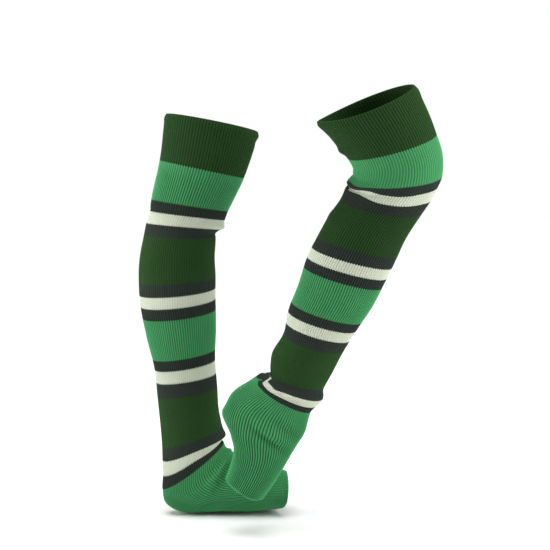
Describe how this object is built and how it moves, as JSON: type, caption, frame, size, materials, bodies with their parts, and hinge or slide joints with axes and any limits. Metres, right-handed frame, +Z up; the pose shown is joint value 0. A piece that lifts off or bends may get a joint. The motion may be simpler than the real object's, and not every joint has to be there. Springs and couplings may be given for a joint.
{
  "type": "pair of leg warmers",
  "caption": "Pair of over-the-knee leg warmers in striped rib knit, open at the thigh and the instep, shaped as worn on a straight standing leg and a bent crossed leg.",
  "frame": {"origin": "centre of the standing leg warmer's top opening, where the thigh holds it", "axes": "+Z up, +X the way the standing toes point, -Y towards the side the crossed leg is on"},
  "size_m": [0.467, 0.2948, 0.6886],
  "materials": {
    "dark_green_knit": "matte rib knit",
    "bright_green_knit": "matte rib knit"
  },
  "bodies": {
    "root": {"standing_cuff": "dark_green_knit", "standing_knee_tube": "bright_green_knit", "standing_shin_tube": "dark_green_knit", "standing_foot_tube": "bright_green_knit", "crossed_cuff": "dark_green_knit", "crossed_knee_tube": "bright_green_knit", "crossed_shin_tube": "dark_green_knit", "crossed_foot_tube": "bright_green_knit"}
  },
  "joints": []
}
